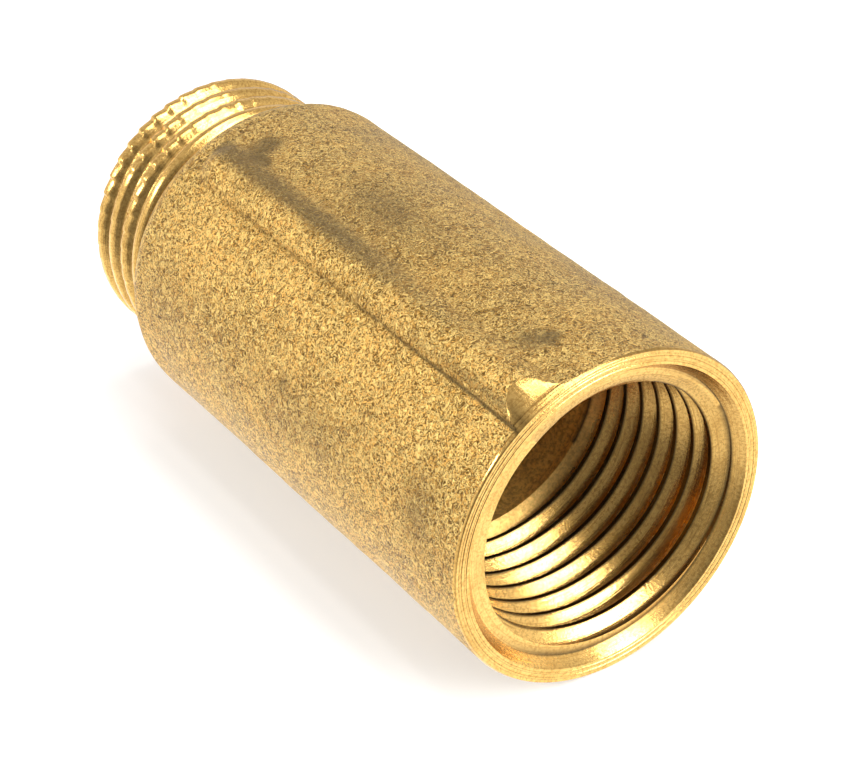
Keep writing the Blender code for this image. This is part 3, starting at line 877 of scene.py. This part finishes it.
def make_bush(name, node, wall, low, high, flange, white):
    bore = 1.58 * MM
    outline = [
        (low, bore),
        (low, bore + wall),
        (high - 0.45 * MM, bore + wall),
        (high - 0.45 * MM, flange),
        (high, flange),
        (high, bore + 0.12 * MM),
        (high - 0.12 * MM, bore),
    ]
    bush = turned(name, outline, [white], 96, soft=0.07 * MM)
    return finish_piece(bush, "body", "white_plastic", node)


def make_sleeve(steel):
    """Rolled stainless tube with three shallow turned bands."""
    inner, outer = CARTRIDGE_RADIUS - 0.4 * MM, CARTRIDGE_RADIUS
    low, high = seat(4.6), seat(14.5)
    outline = [(low, inner), (low, outer)]
    for share in (0.2, 0.5, 0.8):
        x = low + (high - low) * share
        outline += [(x - 0.5 * MM, outer), (x - 0.4 * MM, outer - 0.06 * MM)]
        outline += [(x + 0.4 * MM, outer - 0.06 * MM), (x + 0.5 * MM, outer)]
    outline += [(high, outer), (high, inner)]
    sleeve = turned("distance_sleeve_rolled", outline, [steel], 144, soft=0.05 * MM)
    return finish_piece(sleeve, "body", "stainless_steel", "distance_sleeve")


def make_outlet_guide(brass):
    low, high = seat(14.6), seat(18.1)
    rim_in, bore, nose, flange = 8.3 * MM, 2.48 * MM, 3.58 * MM, 5.3 * MM
    rim = hollow(low, high, rim_in, CARTRIDGE_RADIUS)
    piece = turned("outlet_guide_milled", rim, [brass], 144, soft=0.12 * MM)
    hub = [
        (high, bore),
        (high, nose),
        (seat(16.0), nose),
        (seat(16.0), flange),
        (low, flange),
        (low, nose),
        (seat(13.0), nose),
        (seat(13.0), bore),
    ]
    carve(piece, "UNION", turned("hub", hub, [brass], 96, soft=0.12 * MM))
    add_arms(piece, 3.0 * MM, rim_in + 0.4 * MM, low + 0.3 * MM, seat(17.6), 1.6 * MM, [brass])
    shade(piece, 40)
    return finish_piece(piece, "body", "turned_brass", "outlet_guide")


def make_washer(name, node, body, low, high, inner, outer, steel):
    washer = turned(name, hollow(low, high, inner, outer), [steel], 96, soft=0.08 * MM)
    return finish_piece(washer, body, "stainless_steel", node)


def make_circlip(steel):
    """Internal circlip: an open ring with two drilled lugs that point inwards."""
    outer = 9.92 * MM
    gap_at = math.radians(60)
    half_gap = math.radians(20)
    lug_radius = 1.35 * MM
    lug_at = outer - 1.25 * MM - lug_radius
    lug_turn = half_gap + lug_radius / lug_at
    inner_start = lug_turn + 1.6 * lug_radius / lug_at
    lug = around(lug_turn, lug_at)
    lug_end = arc(lug_radius, lug_turn - math.pi / 2, lug_turn - 1.5 * math.pi, 20, lug)
    outline = [
        *arc(outer, half_gap, 2 * math.pi - half_gap, 120),
        *[(y, -z) for y, z in lug_end],
        *arc(outer - 1.6 * MM, 2 * math.pi - inner_start, inner_start, 96),
        *reversed(lug_end),
    ]
    low, high = seat(18.95), seat(19.95)
    clip = plate("circlip", outline, low, high, [steel])
    for side in (1, -1):
        drill = [(low - MM, 0), (low - MM, 0.7 * MM), (high + MM, 0.7 * MM), (high + MM, 0)]
        hole = turned("hole", drill, [steel], 32)
        carve(clip, "DIFFERENCE", moved(hole, Matrix.Translation((0, lug[0], side * lug[1]))))
    moved(clip, Matrix.Rotation(gap_at, 4, "X"))
    round_edges(clip, 0.08 * MM)
    return finish_piece(clip, "body", "stainless_steel", "retaining_ring")


def make_spring(steel):
    """Compression spring with closed ends that are ground flat."""
    low = seat(8.35) + SPRING_WIRE
    high = seat(14.5) - SPRING_WIRE
    closed, flat_rise = 0.75, 0.72 * MM
    active = SPRING_TURNS - 2 * closed
    per_turn = 44
    sections = []
    for i in range(int(SPRING_TURNS * per_turn) + 1):
        turn = i / per_turn
        if turn < closed:
            x = low + flat_rise * turn / closed
        elif turn > SPRING_TURNS - closed:
            x = high - flat_rise * (SPRING_TURNS - turn) / closed
        else:
            x = low + flat_rise + (high - low - 2 * flat_rise) * (turn - closed) / active
        angle = 2 * math.pi * turn - math.pi / 2
        ring = []
        for k in range(12):
            a = 2 * math.pi * k / 12
            y, z = around(angle, SPRING_RADIUS + SPRING_WIRE * math.cos(a))
            ground = min(max(x + SPRING_WIRE * math.sin(a), low - 0.27 * MM), high + 0.27 * MM)
            ring.append((ground, y, z))
        sections.append(ring)
    spring = swept("return_spring_coil", sections, [steel])
    shade(spring, 50)
    finish_piece(spring, "body", "stainless_steel", "return_spring")
    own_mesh(spring)
    return spring


def make_stem(steel):
    groove, edge, collar = 1.15 * MM, 0.25 * MM, 2.6 * MM
    outline = [
        (seat(20.8), 0),
        (seat(20.8), STEM_RADIUS - edge),
        (seat(20.55), STEM_RADIUS),
        (seat(19.95), STEM_RADIUS),
        (seat(19.95), groove),
        (seat(19.25), groove),
        (seat(19.25), STEM_RADIUS),
        (seat(9.85), STEM_RADIUS),
        (seat(9.85), collar),
        (seat(9.1), collar),
        (seat(9.1), STEM_RADIUS),
        (seat(3.6), STEM_RADIUS),
    ]
    pitch = 0.45 * MM
    for k in range(8):  # thread under the clamp nut
        x = seat(3.6) - k * pitch
        outline += [(x - 0.25 * pitch, STEM_RADIUS - 0.12 * MM), (x - 0.75 * pitch, STEM_RADIUS)]
    outline += [(seat(-4.75), STEM_RADIUS), (seat(-5.0), STEM_RADIUS - edge), (seat(-5.0), 0)]
    stem = turned("stem_turned", outline, [steel], 64, soft=0.05 * MM)
    return finish_piece(stem, "poppet", "stainless_steel", "stem")


def make_disc(brass):
    hole, cup, outer, boss = 1.6 * MM, 7.05 * MM, 7.5 * MM, 3.4 * MM
    outline = [
        (seat(9.0), hole),
        (seat(9.0), boss),
        (seat(8.3), boss),
        (seat(8.3), outer - 0.4 * MM),
        (seat(7.9), outer),
        (seat(5.6), outer),
        (seat(5.6), cup),
        (seat(6.8), cup),
        (seat(6.8), hole),
    ]
    disc = turned("poppet_disc_turned", outline, [brass], 128, soft=0.12 * MM)
    return finish_piece(disc, "poppet", "turned_brass", "poppet_disc")


def make_seal(rubber):
    """Sealing disc with the faint ring that the seat's lip has pressed into its face."""
    low, high, hole, outer = seat(5.1), seat(6.7), 1.6 * MM, 6.95 * MM
    outline = [
        (low, hole),
        (low, 5.75 * MM),
        (low + 0.04 * MM, 6.05 * MM),
        (low, 6.35 * MM),
        (low, outer),
        (high, outer),
        (high, hole),
    ]
    seal = turned("poppet_seal_moulded", outline, [rubber], 128, soft=0.12 * MM)
    return finish_piece(seal, "poppet", "black_rubber", "poppet_seal")


def make_lock_washer(steel):
    low, high = seat(3.45), seat(4.15)
    ring = hollow(low, high, 1.6 * MM, 2.85 * MM)
    washer = turned("lock_washer_coiled", ring, [steel], 96, soft=0.06 * MM)
    corners = [(-MM, -0.2 * MM), (-MM, 0.2 * MM), (MM, 0.2 * MM), (MM, -0.2 * MM)]
    slit = swept("slit", [[(x, y, z) for x, y in corners] for z in (-4 * MM, 0)], [steel])
    moved(slit, Matrix.Translation(((low + high) / 2, 0, 0)) @ Matrix.Rotation(math.radians(35), 4, "Z"))
    carve(washer, "DIFFERENCE", slit)
    shade(washer, 40)
    return finish_piece(washer, "poppet", "stainless_steel", "lock_washer")


def make_nut(steel):
    """Hexagon nut with its corners turned off on both faces and a countersunk bore."""
    low, high, flat = seat(1.0), seat(3.4), 2.75 * MM
    corner = flat / math.cos(math.pi / 6)
    hexagon = [around(math.radians(60 * k), corner) for k in range(6)]
    nut = plate("clamp_nut_milled", hexagon, low, high, [steel])
    wide = corner * 1.2
    drop = (wide - flat * 0.95) * math.tan(math.radians(30))
    past = 0.1 * MM
    crown = [
        (high + past, 0),
        (high + past, flat * 0.95 - past),
        (high - drop, wide),
        (low + drop, wide),
        (low - past, flat * 0.95 - past),
        (low - past, 0),
    ]
    carve(nut, "INTERSECT", turned("crown", crown, [steel], 96))
    hole = [
        (high + past, 0),
        (high + past, 1.95 * MM),
        (high - 0.25 * MM, 1.6 * MM),
        (low + 0.25 * MM, 1.6 * MM),
        (low - past, 1.95 * MM),
        (low - past, 0),
    ]
    carve(nut, "DIFFERENCE", turned("hole", hole, [steel], 64))
    shade(nut, 25)
    return finish_piece(nut, "poppet", "stainless_steel", "clamp_nut")


def make_stem_clip(steel):
    """E-clip: an open ring that grips the stem's groove on three pads."""
    grip, outer, pocket, half_mouth = 1.2 * MM, 3.1 * MM, 2.05 * MM, math.radians(32)
    pads = (
        (2 * math.pi - half_mouth, 2 * math.pi - half_mouth - 0.45),
        (math.pi + 0.5, math.pi - 0.5),
        (half_mouth + 0.45, half_mouth),
    )
    outline = arc(outer, half_mouth, 2 * math.pi - half_mouth, 72)
    for number, (start, end) in enumerate(pads):
        outline += arc(grip, start, end, 10)
        if number < 2:
            outline += arc(pocket, end - 0.15, pads[number + 1][0] + 0.15, 16)
    clip = plate("stem_e_clip", outline, seat(19.35), seat(19.85), [steel])
    moved(clip, Matrix.Rotation(math.radians(-150), 4, "X"))
    round_edges(clip, 0.05 * MM)
    return finish_piece(clip, "poppet", "stainless_steel", "stem_clip")


def build_cartridge(brass, steel, rubber, white):
    make_seat_ring(brass)
    make_o_ring(rubber)
    make_inlet_guide(brass)
    make_bush("inlet_bush_turned", "inlet_bush", 0.5 * MM, seat(-4.6), seat(-0.8), 2.6 * MM, white)
    make_sleeve(steel)
    make_outlet_guide(brass)
    make_bush("outlet_bush_turned", "outlet_bush", 0.8 * MM, seat(13.1), seat(18.65), 3.3 * MM, white)
    washer = (seat(18.2), seat(18.8), 8 * MM, CARTRIDGE_RADIUS)
    make_washer("support_washer_turned", "support_washer", "body", *washer, steel)
    make_circlip(steel)
    make_spring(steel)


def build_poppet(brass, steel, rubber):
    make_stem(steel)
    make_disc(brass)
    make_seal(rubber)
    washer = (seat(4.2), seat(5.0), 1.6 * MM, 4.9 * MM)
    make_washer("clamp_washer_turned", "clamp_washer", "poppet", *washer, steel)
    make_lock_washer(steel)
    make_nut(steel)
    make_stem_clip(steel)


# Stage -------------------------------------------------------------------------------------------
def camera():
    """The viewing angle: looking down and along the valve, into its mouth."""
    forward = Vector((-0.7000, 0.4693, -0.5382)).normalized()
    made = bpy.data.objects.new("camera", bpy.data.cameras.new("camera"))
    bpy.context.scene.collection.objects.link(made)
    made.data.sensor_width = 36
    made.data.lens = 109.7
    made.data.clip_start = 0.005
    made.data.clip_end = 10
    made.location = Vector((MOUTH, 0, 0)) + Vector((103.8, -84.3, 95.2)) * MM
    made.rotation_mode = "QUATERNION"
    made.rotation_quaternion = forward.to_track_quat("-Z", "Y")
    bpy.context.scene.camera = made


def area_light(name, direction, side, size, power, shift=0.0):
    """A panel 0.5 m away that faces the origin, moved sideways by shift."""
    light = bpy.data.lights.new(name, "AREA")
    light.shape = "RECTANGLE"
    light.size, light.size_y = size
    light.energy = power
    made = bpy.data.objects.new(name, light)
    bpy.context.scene.collection.objects.link(made)
    out = Vector(direction).normalized()
    across = (Vector(side) - out * out.dot(Vector(side))).normalized()
    place = out * 0.5 + across * shift
    made.matrix_world = Matrix((across, out.cross(across), out)).transposed().to_4x4()
    made.location = place


def lights():
    """Three windows of three panes, low, in front and overhead, a strip at the left, a pale tent."""
    windows = (
        ("low", (0.90, 0.345, 0.26), 0.75, 0.20, 2.8),
        ("front", (0.67, 0.26, 0.695), 0.78, 0.30, 1.6),
        ("top", (0.08, 0.08, 0.99), 1.0, 0.36, 1.1),
    )
    for name, direction, width, height, strength in windows:
        glow = 18 * width * height * strength  # watts per metre of pane
        area_light(name + "_middle", direction, (0, 1, 0), (0.13 * width, height), 0.13 * glow)
        pane = (0.055 * width, height)
        for side in (-1, 1):
            shift = side * 0.135 * width
            area_light(f"{name}_side{side:+d}", direction, (0, 1, 0), pane, 0.055 * glow, shift)
    area_light("left_strip", (0, -0.843, 0.537), (1, 0, 0), (0.53, 0.09), 1.3, shift=-0.215)
    world = bpy.data.worlds.new("tent")
    world.use_nodes = True
    tree = world.node_tree
    place = tree.nodes.new("ShaderNodeTexCoord").outputs["Generated"]

    def share(direction, low, high, at_low, at_high):
        """How bright the tent is, by the angle from a direction."""
        dot = tree.nodes.new("ShaderNodeVectorMath")
        dot.operation = "DOT_PRODUCT"
        tree.links.new(place, dot.inputs[0])
        dot.inputs[1].default_value = Vector(direction).normalized()
        fall = tree.nodes.new("ShaderNodeMapRange")
        fall.interpolation_type = "SMOOTHSTEP"
        tree.links.new(dot.outputs["Value"], fall.inputs["Value"])
        for name, number in zip(RANGE_SOCKETS, (low, high, at_low, at_high)):
            fall.inputs[name].default_value = number
        return fall.outputs["Result"]

    glow = share((0, 0, 1), 0.1, 0.8, 0.97, 0.58)
    for dark in (
        share((0.84, -0.54, 0.05), 0.60, 0.90, 1.0, 0.24),
        share((-0.70, 0.60, -0.40), 0.75, 0.98, 1.0, 0.62),
        share((0.70, 0.47, -0.54), 0.84, 0.98, 1.0, 1.6),
        share((-0.60, -0.20, -0.77), 0.60, 0.98, 1.0, 1.6),
    ):
        product = tree.nodes.new("ShaderNodeMath")
        product.operation = "MULTIPLY"
        tree.links.new(glow, product.inputs[0])
        tree.links.new(dark, product.inputs[1])
        glow = product.outputs["Value"]
    background = tree.nodes["Background"]
    background.inputs["Color"].default_value = (1, 1, 1, 1)
    tree.links.new(glow, background.inputs["Strength"])
    bpy.context.scene.world = world
    bpy.context.scene.view_settings.view_transform = "Standard"


def floor():
    """A white light table, which the brass doesn't mirror."""
    reach = 3.0
    low = cad_box[0].z - 0.1 * MM
    corners = [(-reach, -reach, low), (reach, -reach, low), (reach, reach, low), (-reach, reach, low)]
    n = Nodes("white_table", 0.0)
    shown = n.mix(n.noise(0.05, 2.0), (0.60, 0.60, 0.60), (0.63, 0.63, 0.63))
    n.put(n.shader.inputs["Base Color"], shown)
    n.shader.inputs["Roughness"].default_value = 0.6
    n.shader.inputs["Emission Color"].default_value = (1, 1, 1, 1)
    n.shader.inputs["Emission Strength"].default_value = 0.42
    table = new_object("table", corners, [[0, 1, 2, 3]], [n.material])
    table.visible_glossy = False


# Scene -------------------------------------------------------------------------------------------
skin_brass = cast_skin()
thread_brass = machined_brass()
build_body(skin_brass, thread_brass)

part_brass = machined_brass("turned_brass", (0.84, 0.57, 0.22), 0.20)
finishes = {
    "turned_brass": part_brass,
    "stainless_steel": stainless(),
    "black_rubber": rubber(),
    "white_plastic": plastic(),
    "cast_brass": skin_brass,
}
steel, seal_rubber = finishes["stainless_steel"], finishes["black_rubber"]
build_cartridge(part_brass, steel, seal_rubber, finishes["white_plastic"])
build_poppet(part_brass, steel, seal_rubber)
for entry in frame["record"]["subparts"]:
    node = frame["nodes"][entry["node"]]
    node.data.materials.clear()
    node.data.materials.append(finishes[entry["material_slot"]])

camera()
lights()
floor()
